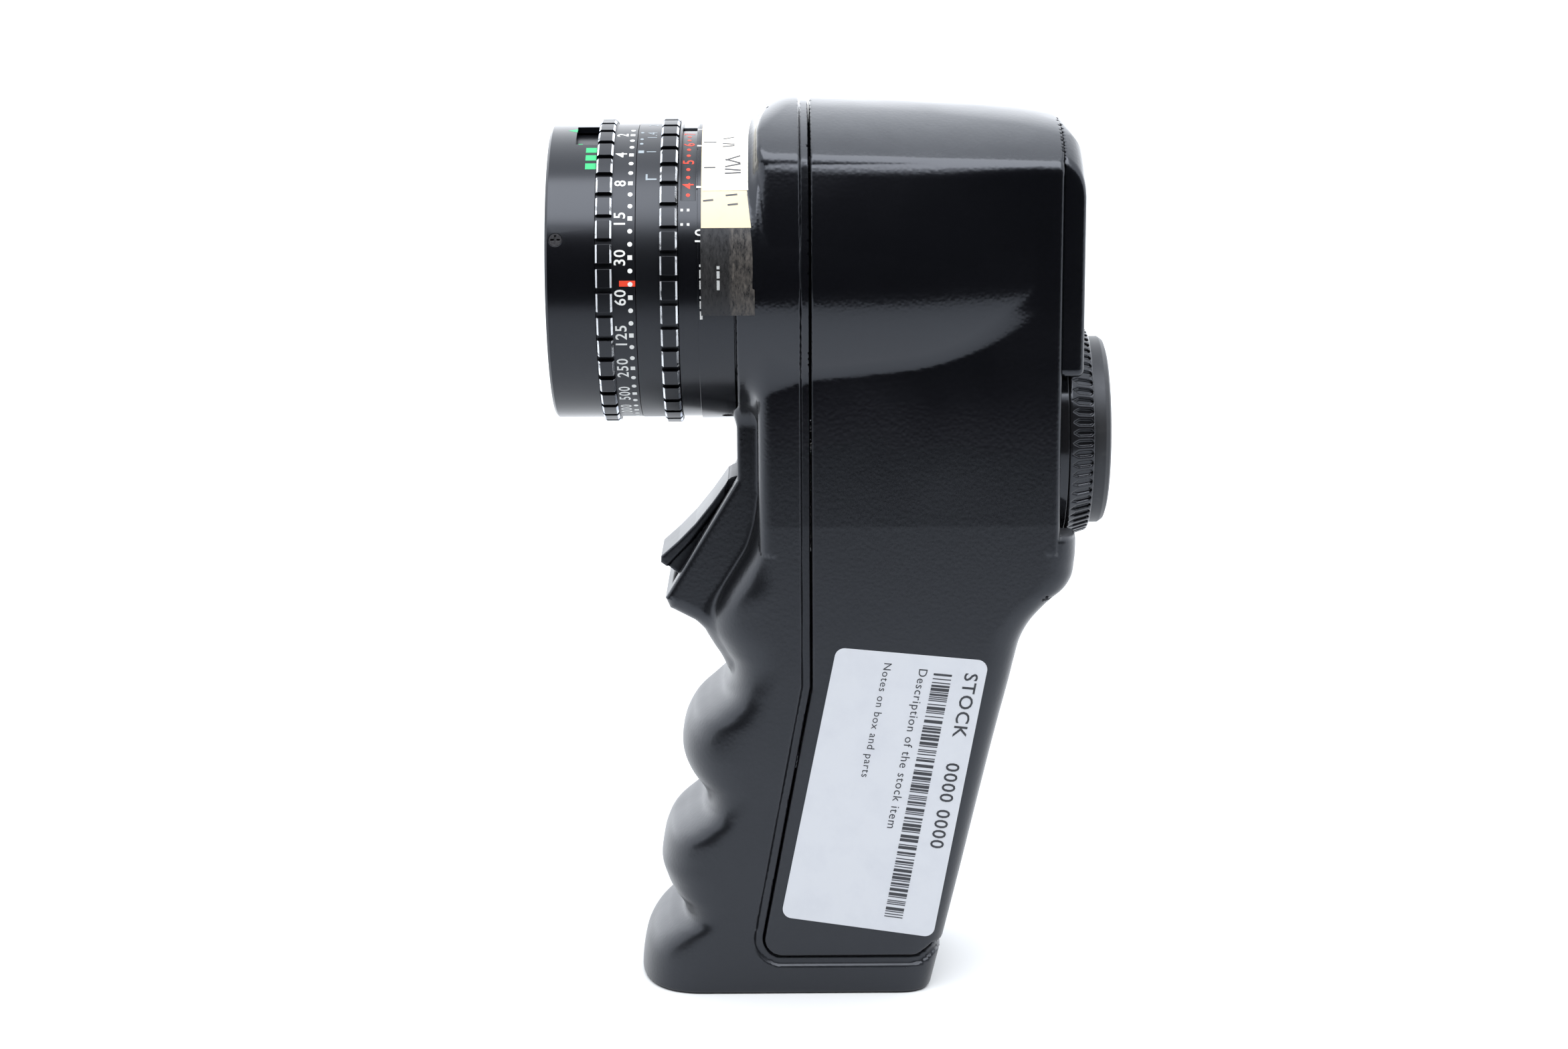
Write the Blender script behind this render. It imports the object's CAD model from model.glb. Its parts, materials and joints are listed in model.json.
import json
import math

import bpy
import numpy as np
from mathutils import Matrix, Vector


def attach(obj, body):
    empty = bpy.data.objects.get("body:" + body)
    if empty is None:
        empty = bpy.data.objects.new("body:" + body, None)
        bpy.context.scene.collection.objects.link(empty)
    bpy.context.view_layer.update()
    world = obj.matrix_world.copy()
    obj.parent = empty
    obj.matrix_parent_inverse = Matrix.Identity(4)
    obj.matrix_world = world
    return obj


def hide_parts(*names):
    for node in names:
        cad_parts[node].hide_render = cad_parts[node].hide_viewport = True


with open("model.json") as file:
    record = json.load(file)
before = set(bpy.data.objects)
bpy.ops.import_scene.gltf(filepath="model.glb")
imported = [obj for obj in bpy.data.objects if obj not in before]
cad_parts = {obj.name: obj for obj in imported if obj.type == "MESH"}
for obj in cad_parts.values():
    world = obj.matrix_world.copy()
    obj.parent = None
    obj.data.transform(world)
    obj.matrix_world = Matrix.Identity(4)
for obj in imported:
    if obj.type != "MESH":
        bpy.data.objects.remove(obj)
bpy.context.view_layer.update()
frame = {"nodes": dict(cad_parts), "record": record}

# A pistol-grip spot light meter. The lens points to -X, Z = 0 is the base, and the near side is -Y.
# Lengths are in metres, but for the housing and the diopter ring, which are worked out in millimetres.

MM = 0.001
nodes = frame["nodes"]
LENS = 118.4  # height of the barrel's axis, in millimetres
LENS_Z = LENS * MM


# ---- Camera, floor and light --------------------------------------------------------------------

VIEW_POINT = Vector((0, 0, 0.076))
VIEW_DISTANCE = 0.46065
VIEW_PITCH = math.radians(12.5)
VIEW_ROLL = math.radians(-0.36)

camera = bpy.data.objects.new("camera", bpy.data.cameras.new("camera"))
bpy.context.scene.collection.objects.link(camera)
camera.data.sensor_width = 36
camera.data.lens = 63.77
camera.location = VIEW_POINT + VIEW_DISTANCE * Vector((0, -math.cos(VIEW_PITCH), math.sin(VIEW_PITCH)))
camera.rotation_euler = (
    Matrix.Rotation(math.radians(90) - VIEW_PITCH, 4, "X") @ Matrix.Rotation(VIEW_ROLL, 4, "Z")
).to_euler()
bpy.context.scene.camera = camera
bpy.context.scene.view_settings.view_transform = "Standard"


def stage_plane(name, corners, color, roughness=0.6):
    """A flat stage sheet through four corners."""
    mesh = bpy.data.meshes.new(name)
    mesh.from_pydata(corners, [], [(0, 1, 2, 3)])
    sheet = bpy.data.objects.new(name, mesh)
    bpy.context.scene.collection.objects.link(sheet)
    material = bpy.data.materials.new(name)
    material.use_nodes = True
    shader = material.node_tree.nodes["Principled BSDF"]
    shader.inputs["Base Color"].default_value = (*color, 1)
    shader.inputs["Roughness"].default_value = roughness
    mesh.materials.append(material)
    return sheet


FLOOR = 3.0
stage_plane(
    "floor", [(-FLOOR, -FLOOR, 0), (FLOOR, -FLOOR, 0), (FLOOR, FLOOR, 0), (-FLOOR, FLOOR, 0)],
    (0.64, 0.65, 0.66),
)

# The near side of the meter mirrors the table up to its front edge, and a dark room above that.
DARK_Y = -0.34
DARK_TOP = 0.38
DARK_HALF = 2.0
dark_room = stage_plane(
    "dark_room",
    [(-DARK_HALF, DARK_Y, 0), (DARK_HALF, DARK_Y, 0),
     (DARK_HALF, DARK_Y, DARK_TOP), (-DARK_HALF, DARK_Y, DARK_TOP)],
    (0.002, 0.002, 0.0025), 1.0,
)
dark_room.visible_camera = False

# The studio is brighter towards the back than towards the camera.
world = bpy.data.worlds.new("studio")
world.use_nodes = True
bpy.context.scene.world = world
background = world.node_tree.nodes["Background"]
background.inputs["Color"].default_value = (0.93, 0.96, 1.0, 1)
direction = world.node_tree.nodes.new("ShaderNodeTexCoord").outputs["Generated"]
axes = world.node_tree.nodes.new("ShaderNodeSeparateXYZ")
brightness = world.node_tree.nodes.new("ShaderNodeMapRange")
for socket, value in {"From Min": 0.1, "From Max": 0.95, "To Min": 1.9, "To Max": 3.0}.items():
    brightness.inputs[socket].default_value = value
world.node_tree.links.new(direction, axes.inputs[0])
world.node_tree.links.new(axes.outputs["Y"], brightness.inputs["Value"])
world.node_tree.links.new(brightness.outputs[0], background.inputs["Strength"])


softbox_light = bpy.data.lights.new("front_softbox", "AREA")
softbox_light.shape = "RECTANGLE"
softbox_light.size, softbox_light.size_y = 1.2, 0.56
softbox_light.energy = 9.5
softbox = bpy.data.objects.new("front_softbox", softbox_light)
softbox.location = (0.0, -0.36, 0.83)
softbox.rotation_euler = (Vector((0, 0, 0.118)) - softbox.location).to_track_quat("-Z", "Y").to_euler()
bpy.context.scene.collection.objects.link(softbox)


# ---- Materials ----------------------------------------------------------------------------------


class Finish:
    """One node material: a Principled shader, with short calls for the nodes that drive it."""

    def __init__(self, name, color, roughness, **sockets):
        self.material = bpy.data.materials.new(name)
        self.material.use_nodes = True
        self.tree = self.material.node_tree
        self.shader = self.tree.nodes["Principled BSDF"]
        self.place = self.node("ShaderNodeTexCoord").outputs["Object"]
        self.shader.inputs["Base Color"].default_value = (*color, 1)
        self.shader.inputs["Roughness"].default_value = roughness
        self.shader.inputs["Specular Tint"].default_value = (0.84, 0.89, 1.0, 1)
        for socket, value in sockets.items():
            self.shader.inputs[socket.replace("_", " ")].default_value = value

    def node(self, kind, links=None, **settings):
        node = self.tree.nodes.new(kind)
        for key, value in settings.items():
            setattr(node, key, value)
        for socket, value in (links or {}).items():
            if isinstance(value, bpy.types.NodeSocket):
                self.tree.links.new(value, node.inputs[socket])
            else:
                node.inputs[socket].default_value = value
        return node

    def link(self, output, socket):
        self.tree.links.new(output, self.shader.inputs[socket])

    def math(self, operation, a, b=0.0):
        return self.node("ShaderNodeMath", {0: a, 1: b}, operation=operation).outputs[0]

    def noise(self, size, detail=3.0, roughness=0.5, vector=None):
        """Noise whose lumps are about size metres across, 0 to 1."""
        links = {
            "Vector": vector or self.place, "Scale": 1 / size, "Detail": detail, "Roughness": roughness,
        }
        return self.node("ShaderNodeTexNoise", links).outputs["Fac"]

    def stretched(self, x, y, z):
        """The place, scaled along each axis."""
        return self.node("ShaderNodeVectorMath", {0: self.place, 1: (x, y, z)}, operation="MULTIPLY").outputs[0]

    def grain(self, size):
        """The pebbles of moulded leather grain, 0 in the creases and 1 on the pebbles."""
        links = {"Vector": self.place, "Scale": 1 / size}
        cells = self.node("ShaderNodeTexVoronoi", links, feature="SMOOTH_F1")
        return self.math("SUBTRACT", 1.0, cells.outputs["Distance"])

    def span(self, value, low, high, to_low=0.0, to_high=1.0):
        links = {0: value, 1: low, 2: high, 3: to_low, 4: to_high}
        return self.node("ShaderNodeMapRange", links).outputs[0]

    def tint(self, mask, color, base=None):
        """Paints color over the base colour where the mask is 1."""
        start = base or self.shader.inputs["Base Color"].default_value[:]
        mix = self.node("ShaderNodeMix", {0: mask, 6: start, 7: (*color, 1)}, data_type="RGBA")
        self.link(mix.outputs[2], "Base Color")
        return mix.outputs[2]

    def end_faces(self):
        """1 on chamfers that face along the barrel."""
        lean = self.math("ABSOLUTE", self.facing("X"))
        return self.math("MULTIPLY", self.math("GREATER_THAN", lean, 0.3), self.math("LESS_THAN", lean, 0.95))

    def facing(self, axis):
        """How far the surface faces along an axis, -1 to 1."""
        geometry = self.node("ShaderNodeNewGeometry")
        return self.node("ShaderNodeSeparateXYZ", {0: geometry.outputs["Normal"]}).outputs[axis]

    def surface(self, height=None, depth=0.0, strength=1.0, bevel=0.0):
        """The normal: edges softened over bevel metres, and a relief of depth metres."""
        normal = None
        if bevel:
            normal = self.node("ShaderNodeBevel", {"Radius": bevel}, samples=6).outputs[0]
        if height is not None:
            links = {"Height": height, "Distance": depth, "Strength": strength}
            if normal:
                links["Normal"] = normal
            normal = self.node("ShaderNodeBump", links).outputs[0]
        self.link(normal, "Normal")
        return self


def moulded_plastic(name="housing_plastic"):
    """Satin black moulding with a fine pebbled grain: dusty where it faces up, and duller on the grip."""
    finish = Finish(name, (0.0024, 0.0026, 0.0036), 0.26, Specular_IOR_Level=0.6)
    top = finish.span(finish.facing("Z"), 0.64, 0.88)
    dust = finish.math("MULTIPLY", top, finish.span(finish.noise(3 * MM, 5, 0.6), 0.2, 0.8, 0.7, 1.0))
    finish.tint(dust, (0.042, 0.044, 0.048))
    height = finish.node("ShaderNodeSeparateXYZ", {0: finish.place}).outputs["Z"]
    rubbed = finish.math("ADD", finish.span(finish.noise(14 * MM, 4), 0.3, 0.7, -0.03, 0.03),
                         finish.span(height, 85 * MM, 105 * MM, 0.32, 0.17))
    finish.link(finish.math("ADD", rubbed, finish.math("MULTIPLY", top, 0.16)), "Roughness")
    return finish.surface(finish.grain(0.55 * MM), 0.03 * MM, 0.5, 0.3 * MM).material


def anodised(name="black_anodised", bevel=0.12 * MM, worn_from=None):
    """Black anodised aluminium, turned. Its edges are rubbed bright beyond worn_from metres of the axis."""
    finish = Finish(name, (0.0024, 0.0026, 0.0036), 0.22, Specular_IOR_Level=0.5)
    turning = finish.noise(0.12 * MM, 2, vector=finish.stretched(1, 0.05, 0.05))
    dust = finish.span(finish.noise(0.5 * MM, 5, 0.7), 0.68, 0.8, 0.0, 0.12)
    color = finish.tint(dust, (0.2, 0.2, 0.22))
    if worn_from:
        parts = finish.node("ShaderNodeSeparateXYZ", {0: finish.place})
        up = finish.math("SUBTRACT", parts.outputs["Z"], LENS_Z)
        across = finish.math("MULTIPLY", parts.outputs["Y"], parts.outputs["Y"])
        radius = finish.math("SQRT", finish.math("ADD", across, finish.math("MULTIPLY", up, up)))
        outside = finish.math("GREATER_THAN", radius, worn_from)
        patches = finish.span(finish.noise(1.6 * MM, 4, 0.6), 0.34, 0.46)
        worn = finish.math("MULTIPLY", finish.math("MULTIPLY", finish.end_faces(), outside), patches)
        finish.tint(worn, (0.75, 0.77, 0.8), color)
        finish.link(finish.span(worn, 0, 1, 0.33, 0.25), "Roughness")
        finish.link(worn, "Metallic")
    return finish.surface(turning, 0.01 * MM, 0.25, bevel).material


def gloss_plastic(name="gloss_black"):
    finish = Finish(name, (0.008, 0.008, 0.009), 0.12)
    finish.link(finish.span(finish.noise(4 * MM, 3), 0.3, 0.7, 0.08, 0.2), "Roughness")
    return finish.surface(finish.noise(1.5 * MM, 2), 0.02 * MM, 0.2, 0.2 * MM).material


def rubber(name="black_rubber"):
    finish = Finish(name, (0.016, 0.016, 0.0165), 0.46)
    dust = finish.span(finish.noise(2.5 * MM, 5, 0.65), 0.55, 0.8, 0.0, 0.25)
    finish.tint(dust, (0.07, 0.07, 0.07))
    return finish.surface(finish.noise(0.25 * MM, 3), 0.03 * MM, 0.3, 0.25 * MM).material


def metal(name, color, roughness=0.25):
    finish = Finish(name, color, roughness, Metallic=1.0)
    patches = finish.noise(0.4 * MM, 3)
    finish.link(finish.span(patches, 0.3, 0.7, roughness - 0.06, roughness + 0.08), "Roughness")
    return finish.surface(finish.noise(0.08 * MM, 2), 0.005 * MM, 0.3, 0.05 * MM).material


def flat_paint(name, color, roughness=0.55, speckle=0.15):
    """Paint in engraving, slightly uneven."""
    finish = Finish(name, color, roughness)
    grime = finish.span(finish.noise(0.35 * MM, 3), 0.5, 0.9, 0.0, speckle)
    finish.tint(grime, tuple(c * 0.35 for c in color))
    return finish.material


def glass(name="optical_glass"):
    finish = Finish(name, (0.92, 0.95, 1.0), 0.02, IOR=1.52)
    finish.shader.inputs["Transmission Weight"].default_value = 1.0
    finish.shader.inputs["Coat Weight"].default_value = 0.6
    finish.shader.inputs["Coat Tint"].default_value = (0.62, 0.55, 0.95, 1)
    finish.link(finish.span(finish.noise(6 * MM, 2), 0.3, 0.7, 0.01, 0.03), "Roughness")
    return finish.material


def paper(name, color, stain, fibre=0.2 * MM, roughness=0.6):
    """Paper with fine fibres and faint stains."""
    finish = Finish(name, color, roughness)
    patches = finish.span(finish.noise(5 * MM, 4, 0.6), 0.45, 0.8, 0.0, 0.6)
    finish.tint(patches, stain)
    return finish.surface(finish.noise(fibre, 4, 0.6), 0.02 * MM, 0.4).material


def clear_film(name="clear_film"):
    """Old clear tape: a grey film, milky and scratched behind its middle."""
    finish = Finish(name, (0.014, 0.014, 0.0145), 0.3)
    scratches = finish.noise(0.5 * MM, 6, 0.75, finish.stretched(1, 0.35, 0.35))
    parts = finish.node("ShaderNodeSeparateXYZ", {0: finish.place})
    lifted = finish.span(parts.outputs["X"], -8.3 * MM, -7.7 * MM)
    cloud = finish.span(scratches, 0.4, 0.72, 0.03, 0.5)
    finish.tint(finish.math("MULTIPLY", cloud, finish.span(lifted, 0, 1, 0.12, 1.0)), (0.2, 0.175, 0.15))
    finish.link(finish.span(scratches, 0.3, 0.7, 0.2, 0.5), "Roughness")
    return finish.surface(scratches, 0.02 * MM, 0.25).material


def plain(name, color, roughness, depth=0.02 * MM, size=0.4 * MM):
    finish = Finish(name, color, roughness)
    patches = finish.noise(size * 4, 3)
    finish.link(finish.span(patches, 0.3, 0.7, roughness - 0.08, roughness + 0.08), "Roughness")
    return finish.surface(finish.noise(size, 3), depth, 0.3, 0.1 * MM).material


KNURL_WORN = 23.95 * MM

finishes = {
    "housing_plastic": moulded_plastic(),
    "black_anodised": anodised(),
    "gloss_black": gloss_plastic(),
    "black_rubber": rubber(),
    "steel": metal("steel", (0.55, 0.55, 0.56)),
    "black_steel": metal("black_steel", (0.06, 0.06, 0.065), 0.35),
    "optical_glass": glass(),
    "mirror_glass": metal("mirror_glass", (0.9, 0.9, 0.92), 0.08),
    "matte_black": plain("matte_black", (0.01, 0.01, 0.01), 0.8),
    "label_paper": paper("label_paper", (0.58, 0.60, 0.64), (0.52, 0.54, 0.59)),
    "tape_paper": paper("tape_paper", (0.72, 0.62, 0.42), (0.62, 0.50, 0.32)),
    "clear_film": clear_film(),
    "board_green": plain("board_green", (0.02, 0.16, 0.06), 0.35),
    "chip_black": plain("chip_black", (0.02, 0.02, 0.02), 0.6),
    "battery_shell": metal("battery_shell", (0.7, 0.7, 0.72), 0.2),
    "blue_case": plain("blue_case", (0.02, 0.09, 0.4), 0.3),
    "red_window": plain("red_window", (0.35, 0.01, 0.01), 0.15),
}
worn_knurl = anodised("worn_knurl", 0.1 * MM, KNURL_WORN)

for part in frame["record"]["subparts"]:
    if part["node"] in nodes:
        mesh = nodes[part["node"]].data
        mesh.materials.clear()
        mesh.materials.append(finishes[part["material_slot"]])
for name in ("film_speed_ring", "exposure_ring"):
    nodes[name].data.materials[0] = worn_knurl


# ---- Housing shells -----------------------------------------------------------------------------
# The two moulded halves are one smooth form, described by how far a point lies outside it, in
# millimetres. Joins are filleted and edges are rounded, as the mould is. The mesh is drawn through the
# places where that distance is zero.

EYE = 91.8
SEAM_X = 4.3
FRONT_X, REAR_X = -4.0, 43.8
ROOF_RADIUS, ROOF_RISE, ROOF_SLOPE = 27.3, 0.55, 0.034
HALF_WIDTH, BASE_HALF, TAPER_TOP = 19.8, 17.0, 80.0
LIP_TOP = 78.0
SHOULDER = 137.2
COVER_X, COVER_HALF, COVER_BOTTOM = 47.3, 18.8, 103.4
WALL = 1.8
HINGE_X, HINGE_Z, LEVER_LEAN = -7.6, 83.4, math.radians(31.1)

# Height, front edge and depth of the rounded finger face, from the base up into the neck.
FINGER_FACE = [
    (-3, -24.5, 12.0), (0, -24.5, 12.0), (2, -24.4, 12.0), (4, -24.1, 11.8), (6, -23.5, 11.4),
    (8, -22.2, 10.4), (10, -19.9, 8.6), (12, -17.3, 7.2), (14, -17.9, 8.6), (16, -19.4, 10.0),
    (18, -20.3, 11.0), (20, -20.9, 11.6), (22, -20.7, 11.8), (24, -20.2, 11.6), (26, -19.1, 10.8),
    (28, -16.5, 8.8), (30, -13.9, 7.2), (31, -13.3, 7.0), (32, -13.3, 7.6), (34, -14.2, 9.4),
    (36, -15.8, 11.0), (38, -16.8, 12.0), (40, -17.2, 12.4), (42, -17.0, 12.6), (44, -16.3, 12.4),
    (46, -15.0, 11.6), (48, -12.6, 10.0), (50, -10.3, 8.4), (52, -9.3, 8.0), (54, -9.2, 8.8),
    (56, -9.8, 10.0), (58, -11.2, 11.4), (61, -12.8, 12.2), (64.5, -12.6, 11.6), (68, -10.9, 9.4),
    (71.4, -8.7, 8.0), (74.6, -6.6, 5.8), (78, -5.3, 4.2), (83, -4.4, 3.4), (88, -3.7, 3.2), (94, -3.0, 3.2),
    (100, -2.4, 3.2),
]
# Height and rear edge of the grip, out to the lip under the eyepiece.
GRIP_BACK = [
    (-5, 23.0), (0, 24.1), (8.4, 26.1), (19, 28.6), (33, 31.8), (46.7, 35.0), (53.5, 36.7), (57, 37.5),
    (60.3, 38.4), (62, 39.2), (63.7, 40.3), (65.3, 41.7), (67, 43.4), (68.6, 45.3), (70.3, 46.4),
    (73, 46.9), (80, 46.95),
]
# Distance along the meter and height of the roof's top, which falls off faster than its shoulders.
ROOF_LINE = [
    (-6, 147.3), (4.3, 146.5), (12, 146.25), (25, 145.5), (33.6, 144.7), (38, 144.2), (42.2, 143.5),
    (50, 141.6),
]
# Distance along the meter and radius of the round collar as it runs back into the sides.
COLLAR = [
    (-20, 24.1), (-7.3, 24.1), (4.3, 24.15), (14, 23.7), (24.1, 22.9), (29.4, 22.0), (34.7, 20.9),
    (37.9, 20.2), (41.5, 19.3), (50, 17.0),
]
COLLAR_FRONT, COLLAR_REAR = -7.3, 41.5
GUARD_OUTLINE = [
    (0, 98), (-7.5, 98), (-7.5, 85.7), (-19.5, 66.0), (-18.7, 64.2), (-12.6, 61.0), (-9.0, 55.0), (0, 55),
]
GUARD_HALF = 11.0
# The parting line, drawn inside its rounded corners by their radius.
SEAM_CORNER = 3.0
SEAM_OUTLINE = [(7.3, 170), (7.3, 52.9), (-0.7, 9.6), (20.6, 9.6), (23.0, 11.4), (70, 11.4), (70, 170)]
STRIP_WIDTH, STRIP_DEPTH = 1.55, 0.6
GRIP_CAVITY = [
    (-2.2, 70), (-2.2, 62), (-5.6, 50), (-9.0, 33), (-12.2, 14), (-13.5, WALL), (21.6, WALL), (32.0, 48),
    (34.0, 62), (34.0, 70),
]

# The trigger in its own axes: down the lever, and into the housing.
PAD_OUTLINE = [
    (-0.4, -2.0), (4.1, -2.35), (8.6, -2.95), (12.4, -3.85), (16.1, -5.0), (17.0, -4.5), (17.1, -3.2),
    (11.5, -1.9), (2.0, -0.8),
]
WEDGE_OUTLINE = [(0, -1.4), (11.0, -2.6), (17.0, -3.4), (17.6, 0.8), (0, 0.9)]


def through(points, at):
    """A smooth curve through (place, value) points, read at each place."""
    x, y = np.array([p[0] for p in points], float), np.array([p[1] for p in points], float)
    slope = np.gradient(y, x)
    i = np.clip(np.searchsorted(x, at) - 1, 0, len(x) - 2)
    width = x[i + 1] - x[i]
    t = np.clip((at - x[i]) / width, 0, 1)
    return (
        (1 + 2 * t) * (1 - t) ** 2 * y[i] + t * (1 - t) ** 2 * width * slope[i]
        + t * t * (3 - 2 * t) * y[i + 1] + t * t * (t - 1) * width * slope[i + 1]
    )


def outline_distance(corners, x, z):
    """Distance outside a closed outline in the side view."""
    nearest, inside = None, np.zeros(np.broadcast(x, z).shape, bool)
    for (x0, z0), (x1, z1) in zip(corners, corners[1:] + corners[:1]):
        reach = (x - x0) * (x1 - x0) + (z - z0) * (z1 - z0)
        along = np.clip(reach / ((x1 - x0) ** 2 + (z1 - z0) ** 2), 0, 1)
        gap = np.hypot(x - x0 - along * (x1 - x0), z - z0 - along * (z1 - z0))
        nearest = gap if nearest is None else np.minimum(nearest, gap)
        if z0 != z1:
            crosses = ((z0 > z) != (z1 > z)) & (x < x0 + (z - z0) * (x1 - x0) / (z1 - z0))
            inside ^= crosses
    return np.where(inside, -nearest, nearest)


def both(a, b, r=0.4):
    """What lies in both forms, its edge rounded to radius r."""
    return np.minimum(np.maximum(a, b), -r) + np.hypot(np.maximum(a + r, 0), np.maximum(b + r, 0))


def either(a, b, r=0.4):
    """What lies in either form, the corner between them filled to radius r."""
    return np.maximum(np.minimum(a, b), r) - np.hypot(np.maximum(r - a, 0), np.maximum(r - b, 0))


def without(a, b, r=0.25):
    """What lies in a and not in b, its edge rounded to radius r."""
    return both(a, -b, r)


def smooth(value, low, high):
    """0 below low, 1 above high, and an even curve between them."""
    t = np.clip((value - low) / (high - low), 0, 1)
    return t * t * (3 - 2 * t)


def across_axis(y, z, axis_z):
    """Distance from an axis along X."""
    return np.hypot(y, z - axis_z)


def rounded_plan(x, y, half, front, front_depth, back, back_depth, power=2.7):
    """Distance outside a plan whose nose and back are rounded over the given depths."""
    u = np.maximum(np.maximum(front + front_depth - x, 0) / front_depth, 0)
    b = np.maximum(np.maximum(x - back + back_depth, 0) / back_depth, 0)
    t = np.abs(y) / half
    nose = (u**power + t**power) ** (1 / power) + 1e-9
    nose_grade = np.hypot((u / nose) ** (power - 1) / front_depth, (t / nose) ** (power - 1) / half)
    tail = (b**2.3 + t**8) ** (1 / 2.3) + 1e-9
    tail_grade = np.hypot((b / tail) ** 1.3 / back_depth, np.minimum(t, 1.2) ** 7 / tail**1.3 * 3.5 / half)
    return np.maximum((nose - 1) / np.maximum(nose_grade, 1e-3), (tail - 1) / np.maximum(tail_grade, 1e-3))


def lever_place(x, z):
    """A place in the lever's own axes: down it from the hinge, and into the housing."""
    down = (x - HINGE_X) * -math.sin(LEVER_LEAN) + (z - HINGE_Z) * -math.cos(LEVER_LEAN)
    into = (x - HINGE_X) * math.cos(LEVER_LEAN) - (z - HINGE_Z) * math.sin(LEVER_LEAN)
    return down, into


def roof(x, y, z):
    """Distance above the rounded roof."""
    axis = LENS + ROOF_RISE - ROOF_SLOPE * (x - SEAM_X)
    arch = np.where(z > axis, np.hypot(y, z - axis) - ROOF_RADIUS, -10.0)
    return both(arch, z - through(ROOF_LINE, x) + 0.006 * y * y, 1.0)


def outside(x, y, z):
    """Distance outside the meter's moulded form, before it is hollowed."""
    half = BASE_HALF + (HALF_WIDTH - BASE_HALF) * np.clip(z / TAPER_TOP, -0.1, 1)
    nose = through([p[:2] for p in FINGER_FACE], z)
    depth = through([(p[0], p[2]) for p in FINGER_FACE], z)
    grip = rounded_plan(x, y, half, nose, depth, through(GRIP_BACK, z), 6.0)
    grip = both(both(grip, z - LIP_TOP, 1.3), -z, 0.7)

    # Above the lens axis the sides lean in, from the collar's width to the roof's shoulder.
    spread = np.maximum(through(COLLAR, x) - HALF_WIDTH, 0)
    lean = np.where(z > LENS, spread * (1 - np.clip((z - LENS) / (SHOULDER - LENS), 0, 1) ** 1.5), 0)
    sides = both(np.abs(y) - half - lean, FRONT_X - x, 2.4)
    # The rear edge is rounded at the sides, and stays nearly sharp at the top, against the cover.
    rear_edge = 0.1 + 0.9 * smooth(np.abs(y), 17.0, 19.0)
    body = both(both(sides, roof(x, y, z), 1.0), x - REAR_X, rear_edge)
    body = both(body, LIP_TOP - 3 - z, 0.2)
    top_front = (z - 143.6) * 0.8 + (FRONT_X - x) * 0.6
    body = both(body, top_front, 1.6)

    neck = np.maximum(rounded_plan(x, y, half, nose, depth, 30.0, 6.0), np.maximum(z - 97, 50 - z))
    collar = across_axis(y, z, LENS) - through(COLLAR, x)
    collar = both(both(collar, COLLAR_FRONT - x, 0.5), x - COLLAR_REAR, 0.3)
    guard = both(outline_distance(GUARD_OUTLINE, x, z), np.abs(y) - GUARD_HALF, np.where(z < 66, 2.6, 0.8))

    form = np.minimum(np.minimum(body, grip), neck)
    form = either(form, guard, np.clip((72 - z) * 0.25, 0.9, 2.6))
    flush = smooth(z, LENS - 5, LENS) * smooth(x, FRONT_X, FRONT_X + 1.5)
    return either(form, collar, np.clip(1.6 - x * 0.25, 0.7, 2.2) * (1 - flush) + 0.02)


def hollow(x, y, z):
    """Distance outside everything cut out of the form."""
    room = np.maximum(np.maximum(np.abs(y) - 18.0, FRONT_X + WALL - x), np.maximum(x - 42.0, 68.0 - z))
    room = np.maximum(room, roof(x, y, z) + WALL)
    grip = np.maximum(outline_distance(GRIP_CAVITY, x, z), np.abs(y) - 14.6)
    barrel = across_axis(y, z, LENS)
    bore = np.maximum(barrel - 22.6, np.maximum(-5.3 - x, x - 12.0))
    mouth = np.maximum(barrel - 21.02, np.maximum(-12.0 - x, x))
    eye = across_axis(y, z, EYE)
    eye_bore = np.minimum(np.maximum(eye - 14.5, 40 - x), np.maximum(eye - 18.6, REAR_X - x))
    battery = np.maximum(np.hypot(x - 2.0, y) - 8.62, z - 4)
    down, into = lever_place(x, z)
    slot = np.maximum(np.maximum(np.abs(y) - 7.0, np.abs(into + 2.0) - 7.0), np.abs(down - 8.15) - 10.75)
    pocket = np.maximum(np.maximum(np.abs(y) - 5.3, np.abs(into - 6.5) - 2.5), np.abs(down - 11.0) - 4.4)
    cuts = [room, grip, bore, mouth, eye_bore, battery, slot, pocket]
    return np.minimum.reduce(np.broadcast_arrays(*cuts))


def behind_seam(x, z):
    """Distance in front of the parting line, in the side view."""
    return outline_distance(SEAM_OUTLINE, x, z) - SEAM_CORNER


def front_shell(x, y, z):
    """The front half, set down in a narrow strip beside the parting line."""
    seam = behind_seam(x, z)
    form = outside(x, y, z) + STRIP_DEPTH * (1 - smooth(seam, STRIP_WIDTH - 0.3, STRIP_WIDTH + 0.3))
    return without(without(form, hollow(x, y, z)), seam - 0.12, 0.3)


def rear_shell(x, y, z):
    return without(both(outside(x, y, z), behind_seam(x, z) + 0.1, 0.4), hollow(x, y, z))


def rear_cover(x, y, z):
    """The cap over the back of the finder, its crown rounded down to its rear face."""
    crown = both(roof(x, y, z), x - COVER_X, 4.6)
    form = both(both(crown, np.abs(y) - COVER_HALF, 1.0), COVER_BOTTOM - z, 1.2)
    room = np.maximum(form + WALL, 112 - z)
    boss = np.maximum(np.hypot(np.abs(y) - 13, z - 130) - 2.4, x - COVER_X + 0.6)
    shell = np.minimum(np.maximum(form, -room), np.maximum(boss, form))
    return np.maximum(without(shell, across_axis(y, z, EYE) - 18.4, 0.3), REAR_X + 0.03 - x)


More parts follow.
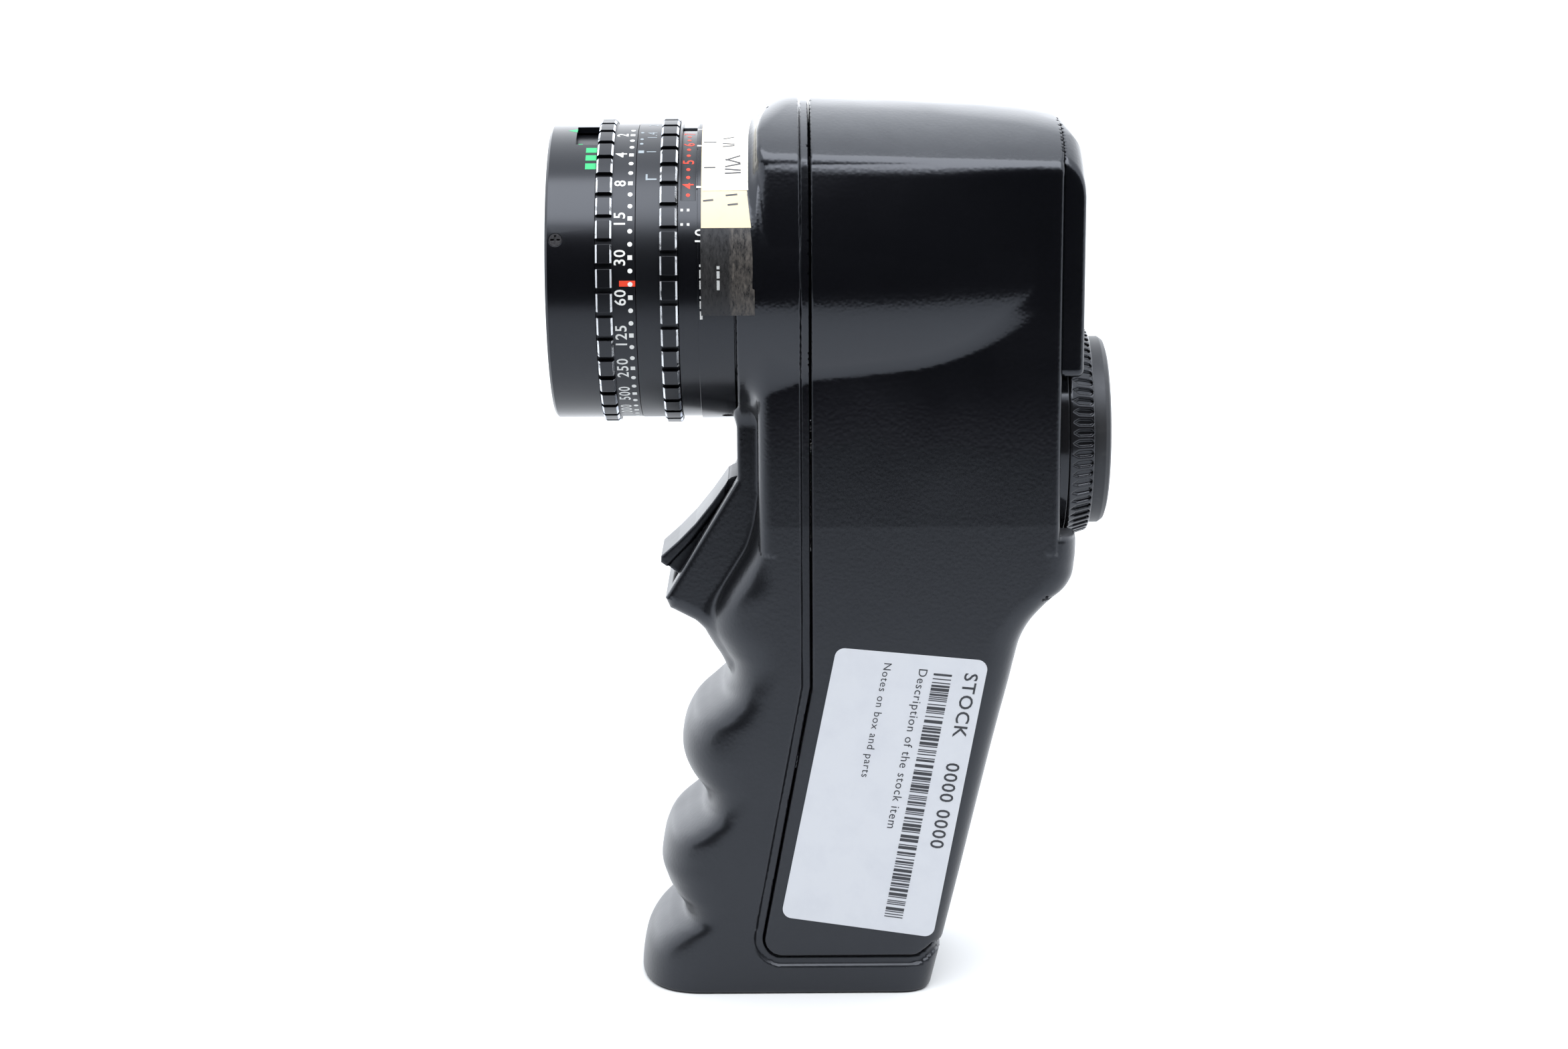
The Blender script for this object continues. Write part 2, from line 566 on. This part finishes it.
def lever(x, y, z):
    """The trigger: a dished finger pad on a narrower wedge that swings on its pin."""
    down, into = lever_place(x, z)
    pad = both(outline_distance(PAD_OUTLINE, down, into), np.abs(y) - 6.55, 0.4)
    wedge = both(outline_distance(WEDGE_OUTLINE, down, into), np.abs(y) - 5.7, 0.25)
    form = np.minimum(pad, np.minimum(wedge, np.maximum(np.hypot(down, into) - 2.0, np.abs(y) - 5.7)))
    form = without(form, np.hypot(down, into) - 0.96, 0.05)
    return without(form, np.maximum(np.hypot(down - 4.6, y) - 1.35, -0.4 - into), 0.05)


def drawn_through_zero(distance, low, high, pitch, fine_x):
    """A quad mesh where distance is zero: one point in each cell the surface crosses, moved onto it.
    Cells are half as wide along X between the two ends of fine_x."""
    axes = [np.arange(a, b + pitch, pitch) for a, b in zip(low, high)]
    if fine_x:
        coarse, fine = axes[0], np.arange(*fine_x, pitch * 0.5)
        axes[0] = np.concatenate([coarse[coarse < fine[0] - 0.1], fine, coarse[coarse > fine[-1] + 0.1]])
    x, y, z = np.meshgrid(*axes, indexing="ij", sparse=True)
    field = distance(x, y, z)
    filled = field < 0
    shape = np.array(filled.shape) - 1
    corner_total = sum(
        filled[i : i + shape[0], j : j + shape[1], k : k + shape[2]].astype(np.int8)
        for i in (0, 1) for j in (0, 1) for k in (0, 1)
    )
    crossed = (corner_total > 0) & (corner_total < 8)
    number = np.full(crossed.shape, -1, np.int64)
    number[crossed] = np.arange(crossed.sum())
    cells = np.argwhere(crossed)
    points = np.stack([(axis[c] + axis[c + 1]) / 2 for axis, c in zip(axes, cells.T)], 1)
    # Each edge of the grid that leaves or enters the form is ringed by four crossed cells, which make a quad.
    quads = []
    for axis in range(3):
        one = np.eye(3, dtype=int)[axis]
        left, right = np.eye(3, dtype=int)[(axis + 1) % 3], np.eye(3, dtype=int)[(axis + 2) % 3]
        start = [slice(1, n - 1) for n in filled.shape]
        ahead = [slice(1 + one[d], filled.shape[d] - 1 + one[d]) for d in range(3)]
        start[axis], ahead[axis] = slice(0, filled.shape[axis] - 1), slice(1, filled.shape[axis])
        here, there = filled[tuple(start)], filled[tuple(ahead)]
        offset = np.array([s.start for s in start])
        edges = np.argwhere(here != there)
        leaving = here[tuple(edges.T)]
        edges = edges + offset
        ring = [number[tuple((edges - a - b).T)] for a, b in
                ((0 * one, 0 * one), (left, 0 * one), (left, right), (0 * one, right))]
        quad = np.stack(ring, 1)
        quad[~leaving] = quad[~leaving][:, ::-1]
        quads.append(quad)
    # Each point slides down the slope of the distance until it lies on the form.
    nudge = 0.02
    for _ in range(5):
        value = distance(*points.T)
        slope = np.stack([
            (distance(*(points + nudge * unit).T) - distance(*(points - nudge * unit).T)) / (2 * nudge)
            for unit in np.eye(3)
        ], 1)
        steep = np.maximum((slope**2).sum(1), 0.05)
        move = -slope * (value / steep)[:, None]
        length = np.linalg.norm(move, axis=1, keepdims=True)
        points = points + move * np.minimum(1, 0.5 * pitch / np.maximum(length, 1e-9))
        normals = slope / np.linalg.norm(slope, axis=1, keepdims=True)
    return points, np.concatenate(quads), normals


PITCH = 0.5
SEAM_REACH = (-4.5, 5.2)


def add_mesh(name, points, faces, slot_name, body, node=None, normals=None, material=None):
    """A piece from points in metres. It rides on body, and stands for node if one is given."""
    mesh = bpy.data.meshes.new(name)
    mesh.from_pydata([tuple(p) for p in points], [], [tuple(f) for f in faces])
    if normals is not None:
        mesh.shade_smooth()
        mesh.normals_split_custom_set_from_vertices(normals)
    mesh.materials.append(material or finishes[slot_name])
    piece = bpy.data.objects.new(name, mesh)
    bpy.context.scene.collection.objects.link(piece)
    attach(piece, body)
    if node:
        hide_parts(node)
    return piece


def add_form(name, distance, low, high, slot_name, body, node, pitch=PITCH, fine_x=None):
    """A moulded piece from its distance field."""
    points, quads, normals = drawn_through_zero(distance, low, high, pitch, fine_x)
    return add_mesh(name, points * MM, quads.tolist(), slot_name, body, node, normals)


add_form("front_shell", front_shell, (-26, -25.6, -1.1), (28.5, 25.6, 147.6), "housing_plastic", "housing",
         "front_housing", fine_x=SEAM_REACH)
add_form("rear_shell", rear_shell, (-7, -25.6, 4.9), (48, 25.6, 147.6), "housing_plastic", "housing",
         "rear_housing", fine_x=SEAM_REACH)
add_form("finder_cap", rear_cover, (43.2, -19.6, 101.9), (48.1, 19.6, 144.6), "housing_plastic", "housing",
         "rear_cover", 0.9 * PITCH)
add_form("finger_lever", lever, (-22.5, -7.3, 63.5), (-3.5, 7.3, 86.5), "housing_plastic", "trigger",
         "trigger_lever", 0.6 * PITCH)


# ---- Diopter ring -------------------------------------------------------------------------------

DIOPTER_TEETH = 64
COLUMNS = 12  # for each tooth
GROOVE_DEPTH = 0.5
GROOVE_HALF = 0.36  # of a tooth


def groove_width(x):
    """Half the width of a groove: pointed at its front end and round at its back end."""
    if x < 46.9:
        return GROOVE_HALF * max(0.0, (x - 45.85) / (46.9 - 45.85))
    return GROOVE_HALF * math.sqrt(max(0.0, 1 - (max(0.0, x - 48.8) / 0.42) ** 2))


def diopter_ring():
    cone = [(x, 17.7 - 0.32 * (x - 45.8), groove_width(x)) for x in np.arange(45.8, 49.31, 0.14)]
    profile = [(45.4, 14.5, 0), (45.4, 17.45, 0), (45.45, 17.62, 0), (45.6, 17.7, 0), *cone,
               (49.42, 16.5, 0), (49.5, 16.38, 0), (49.5, 10.6, 0), (48.1, 10.6, 0), (48.1, 14.5, 0)]
    count = DIOPTER_TEETH * COLUMNS
    points = []
    for x, radius, half in profile:
        for i in range(count):
            phase = (i % COLUMNS) / COLUMNS - 0.5
            depth = GROOVE_DEPTH * float(smooth(half - abs(phase), 0, 0.14)) if half else 0.0
            a = 2 * math.pi * i / count
            y, z = (radius - depth) * math.cos(a), EYE + (radius - depth) * math.sin(a)
            points.append((x * MM, y * MM, z * MM))
    rows = len(profile)
    faces = []
    for r in range(rows):
        this, after = r * count, (r + 1) % rows * count
        faces += [(this + i, this + (i + 1) % count, after + (i + 1) % count, after + i) for i in range(count)]
    return points, faces


grip_ring = add_mesh("diopter_grip", *diopter_ring(), "gloss_black", "diopter", "diopter_ring")
grip_ring.data.shade_smooth()
grip_ring.data.set_sharp_from_angle(angle=math.radians(50))


# ---- Scale markings -----------------------------------------------------------------------------

BAND_R = 23.6 * MM
APERTURE_R = 23.7 * MM
SLEEVE_R = 23.9 * MM
DRUM_R = 22.4 * MM
LIFT = 0.015 * MM  # paint stands this much off the metal, so that it isn't hidden by it


def text_shape(text, height, bold=0.0, width=1.0):
    """A number's flat outline, centred, as points and faces in the reading direction and up."""
    curve = bpy.data.curves.new("number", "FONT")
    curve.body = text
    curve.size = height / 0.7
    curve.offset = bold
    curve.resolution_u = 3
    curve.space_character = 1.12
    holder = bpy.data.objects.new("number", curve)
    bpy.context.scene.collection.objects.link(holder)
    bpy.context.view_layer.update()
    mesh = bpy.data.meshes.new_from_object(holder.evaluated_get(bpy.context.evaluated_depsgraph_get()))
    points = np.array([v.co[:2] for v in mesh.vertices], float)
    faces = [tuple(p.vertices) for p in mesh.polygons]
    bpy.data.objects.remove(holder)
    bpy.data.meshes.remove(mesh)
    bpy.data.curves.remove(curve)
    points -= (points.max(0) + points.min(0)) / 2
    points[:, 0] *= width
    return points, faces


def bar_shape(length, thickness):
    """A flat bar, length along the reading direction."""
    x, y = length / 2, thickness / 2
    return np.array([(-x, -y), (x, -y), (x, y), (-x, y)]), [(0, 1, 2, 3)]


def dot_shape(radius, sides=14):
    turn = np.arange(sides) * 2 * math.pi / sides
    return radius * np.stack([np.cos(turn), np.sin(turn)], 1), [tuple(range(sides))]


def triangle_shape(width, height):
    return np.array([(-width / 2, -height / 2), (width / 2, -height / 2), (0, height / 2)]), [(0, 1, 2)]


class Marks:
    """Painted marks wrapped round the barrel, gathered into one piece of one colour on one body."""

    def __init__(self, radius):
        self.radius = radius + LIFT
        self.verts, self.faces = [], []

    def put(self, shape, x, angle, radius=None, turn=0.0):
        """Sets a flat shape at x, and angle degrees up from the near side, to be read upwards."""
        points, faces = shape
        radius = self.radius if radius is None else radius + LIFT
        c, s = math.cos(math.radians(turn)), math.sin(math.radians(turn))
        start = len(self.verts)
        for u, v in points:
            u, v = u * c - v * s, u * s + v * c
            a = math.radians(angle) + u / radius
            self.verts.append((x - v, -radius * math.cos(a), LENS_Z + radius * math.sin(a)))
        self.faces += [tuple(start + i for i in face) for face in faces]

    def finish(self, name, material, body):
        return add_mesh(name, self.verts, self.faces, "black_anodised", body, material=material)


white_paint = flat_paint("white_paint", (0.72, 0.73, 0.72))
grey_paint = flat_paint("grey_paint", (0.26, 0.30, 0.33))
green_paint = flat_paint("green_paint", (0.02, 0.42, 0.14))
red_paint = flat_paint("red_paint", (0.72, 0.05, 0.015))

STOP = 15.0  # degrees between whole stops on the shutter scale
SHUTTER_SCALE = ["2", "4", "8", "15", "30", "60", "125", "250", "500", "1000"]
FIRST_NUMBER = 72.2
DIGIT = 1.75 * MM

shutter = Marks(BAND_R)
for i, number in enumerate(SHUTTER_SCALE):
    shutter.put(text_shape(number, DIGIT, 0.03 * MM, 0.98), -25.1 * MM, FIRST_NUMBER - STOP * i)
for i in range(-1, 3 * len(SHUTTER_SCALE)):
    angle = FIRST_NUMBER - i * STOP / 3
    whole = i % 3 == 0
    shutter.put(bar_shape(0.72 * MM, 0.72 * MM) if whole else dot_shape(0.38 * MM), -23.5 * MM, angle)
shutter.finish("shutter_scale", white_paint, "film_speed_ring")

index = Marks(BAND_R)
index.put(bar_shape(0.9 * MM, 2.5 * MM), -23.95 * MM, 2.5)
index.finish("shutter_index", red_paint, "film_speed_ring")

apertures = Marks(APERTURE_R)
for number, angle in (("1.4", 71.7), ("1", 58.8), ("2", 84.6)):
    apertures.put(text_shape(number, 1.5 * MM, 0.0, 0.9), -20.4 * MM, angle)
for angle in (58.8, 64.3, 67.9, 74.0):
    apertures.put(dot_shape(0.28 * MM) if angle > 60 else bar_shape(0.7 * MM, 0.9 * MM), -22.0 * MM, angle)
apertures.put(bar_shape(0.3 * MM, 1.7 * MM), -20.3 * MM, 43.9)
apertures.put(bar_shape(1.2 * MM, 0.3 * MM), -21.0 * MM, 44.9)
apertures.finish("aperture_scale", grey_paint, "exposure_ring")

values = Marks(DRUM_R)
for i, number in enumerate(("7", "6", "5", "4", "3")):
    angle = 82.6 - 13.2 * i
    values.put(text_shape(number, 1.75 * MM, 0.02 * MM, 0.95), -14.6 * MM, angle)
    for step in (1, 2):
        values.put(dot_shape(0.33 * MM), -14.6 * MM, angle - 13.2 * step / 3)
values.finish("exposure_values", red_paint, "exposure_ring")

film = Marks(DRUM_R)
film.put(text_shape("8", 1.7 * MM, 0.01 * MM), -29.8 * MM, 67.5)
for angle in (66.0, 70.4):
    film.put(bar_shape(0.25 * MM, 0.7 * MM), -31.8 * MM, angle)
film.finish("film_speed_scale", green_paint, "film_speed_ring")

film_label = Marks(APERTURE_R)
film_label.put(triangle_shape(1.6 * MM, 1.5 * MM), -33.1 * MM, 76.9)
for angle in (50.6, 55.3, 60.0):
    film_label.put(bar_shape(1.3 * MM, 1.7 * MM), -29.8 * MM, angle)
film_label.finish("film_speed_index", green_paint, "housing")

sleeve_marks = Marks(SLEEVE_R)
for angle in (76.0, 61.9, 39.9):
    sleeve_marks.put(bar_shape(0.35 * MM, 1.0 * MM), -12.75 * MM, angle)
sleeve_marks.put(text_shape("10", 1.7 * MM, 0.02 * MM), -12.6 * MM, 20.2)
for angle, length in ((9.0, 0.4), (5.9, 1.3), (1.9, 1.3), (-2.8, 0.4), (-5.6, 1.2), (-9.6, 1.3)):
    sleeve_marks.put(bar_shape(length * MM, 0.4 * MM), -12.6 * MM, angle)
for x in (-15.5 * MM, -14.5 * MM):
    sleeve_marks.put(bar_shape(2.8 * MM, 0.4 * MM), x, 27.6, 23.6 * MM)
sleeve_marks.finish("sleeve_scale", white_paint, "housing")


# ---- Tape and label -----------------------------------------------------------------------------

TAPE_R = 24.26 * MM
SECOND_TAPE_R = TAPE_R + 0.08 * MM
TAPE_END = 37.7  # degrees, where the second layer of paper tape ends
pale_paper = paper("pale_paper", (0.90, 0.86, 0.76), (0.84, 0.78, 0.64))
pencil = flat_paint("pencil", (0.06, 0.06, 0.065), 0.5, 0.3)
film_print = flat_paint("film_print", (0.42, 0.43, 0.43), 0.5, 0.3)


def tape_layer(x0, x1, start, end, r0, r1):
    """A strip of tape bent round the barrel, its free end torn slightly uneven."""
    steps = 48
    points = []
    for i in range(steps + 1):
        a = math.radians(start + (end - start) * i / steps)
        for x, r in ((x0, r0), (x1, r0), (x1, r1), (x0, r1)):
            wander = 0.04 * MM * math.sin(i * 1.7 + x * 900)
            points.append((x + wander, -r * math.cos(a), LENS_Z + r * math.sin(a)))
    faces = [(4 * i + k, 4 * i + (k + 1) % 4, 4 * i + 4 + (k + 1) % 4, 4 * i + 4 + k)
             for i in range(steps) for k in range(4)]
    return points, faces + [(3, 2, 1, 0), tuple(4 * steps + k for k in range(4))]


add_mesh("second_tape", *tape_layer(-12.3 * MM, -4.75 * MM, TAPE_END, 149, TAPE_R, SECOND_TAPE_R),
         "tape_paper", "housing", material=pale_paper)

notes = Marks(SECOND_TAPE_R)
for angle, length in ((62.6, 2.0), (48.1, 1.8)):
    notes.put(bar_shape(0.3 * MM, length * MM), -11.2 * MM, angle)
for angle, lean in ((65.5, 20), (61.5, -8), (60.0, 8)):
    notes.put(bar_shape(0.28 * MM, 1.9 * MM), -8.3 * MM, angle, turn=lean)
for angle, lean in ((53.0, 24), (51.3, -20), (49.2, 14), (47.0, -6), (45.4, 3)):
    notes.put(bar_shape(0.3 * MM, 2.5 * MM), -7.6 * MM, angle, turn=lean)
for angle, x, length in ((33.6, -11.4, 1.6), (35.8, -7.8, 1.8), (31.9, -7.6, 1.6)):
    notes.put(bar_shape(0.32 * MM, length * MM), x * MM, angle, TAPE_R, turn=6)
notes.finish("pencil_notes", pencil, "housing")

film_notes = Marks(TAPE_R)
for angle, length in ((8.2, 0.5), (5.6, 1.1), (1.8, 1.5)):
    film_notes.put(bar_shape(length * MM, 0.45 * MM), -9.9 * MM, angle)
film_notes.finish("film_strokes", film_print, "housing")

LABEL_CORNERS = [(8.3, 60.0), (32.8, 57.6), (24.1, 10.0), (-0.9, 13.8)]  # X and Z, clockwise from the top left
LABEL_LEAN = (HALF_WIDTH - BASE_HALF) / TAPER_TOP
LABEL_WIDE, LABEL_TALL = 24.6 * MM, 47.0 * MM
PRINT_LIFT = 0.15  # label thickness and ink above the side of the grip


class Print:
    """Flat ink on the label, placed by the share of the way across and down it."""

    def __init__(self):
        self.points, self.faces = [], []

    def at(self, across, down):
        corners = [Vector(c) for c in LABEL_CORNERS]
        top, bottom = corners[0].lerp(corners[1], across), corners[3].lerp(corners[2], across)
        x, z = top.lerp(bottom, down)
        return (x * MM, -(BASE_HALF + LABEL_LEAN * z + PRINT_LIFT) * MM, z * MM)

    def block(self, across, down, wide, tall):
        start = len(self.points)
        corners = ((0, 0), (0, 1), (1, 1), (1, 0))
        self.points += [self.at(across + a * wide, down + d * tall) for a, d in corners]
        self.faces.append(tuple(range(start, start + 4)))

    def text(self, words, across, down, height, bold=0.0):
        """Words that read down the label."""
        points, faces = text_shape(words, height * MM, bold)
        points[:, 0] -= points[:, 0].min()
        start = len(self.points)
        self.points += [self.at(across + v / LABEL_WIDE, down + u / LABEL_TALL) for u, v in points]
        self.faces += [tuple(start + i for i in face) for face in faces]


# The bar code's bars and gaps are drawn at random, as shares of the label's height.
label_print = Print()
draw = np.random.default_rng(5)
place = 0.06
while place < 0.95:
    thick = draw.choice([0.0035, 0.0035, 0.0075, 0.011])
    label_print.block(0.66, place, 0.12, thick)
    place += thick + draw.choice([0.003, 0.003, 0.006, 0.010])
label_print.text("Notes on box and parts", 0.345, 0.04, 1.25)
label_print.text("Description of the stock item", 0.58, 0.05, 1.4)
label_print.text("STOCK", 0.905, 0.05, 2.15, 0.03 * MM)
label_print.text("0000 0000", 0.905, 0.37, 2.15, 0.03 * MM)
add_mesh("label_print", label_print.points, label_print.faces, "label_paper", "housing",
         material=flat_paint("label_ink", (0.035, 0.036, 0.04), 0.5, 0.2))
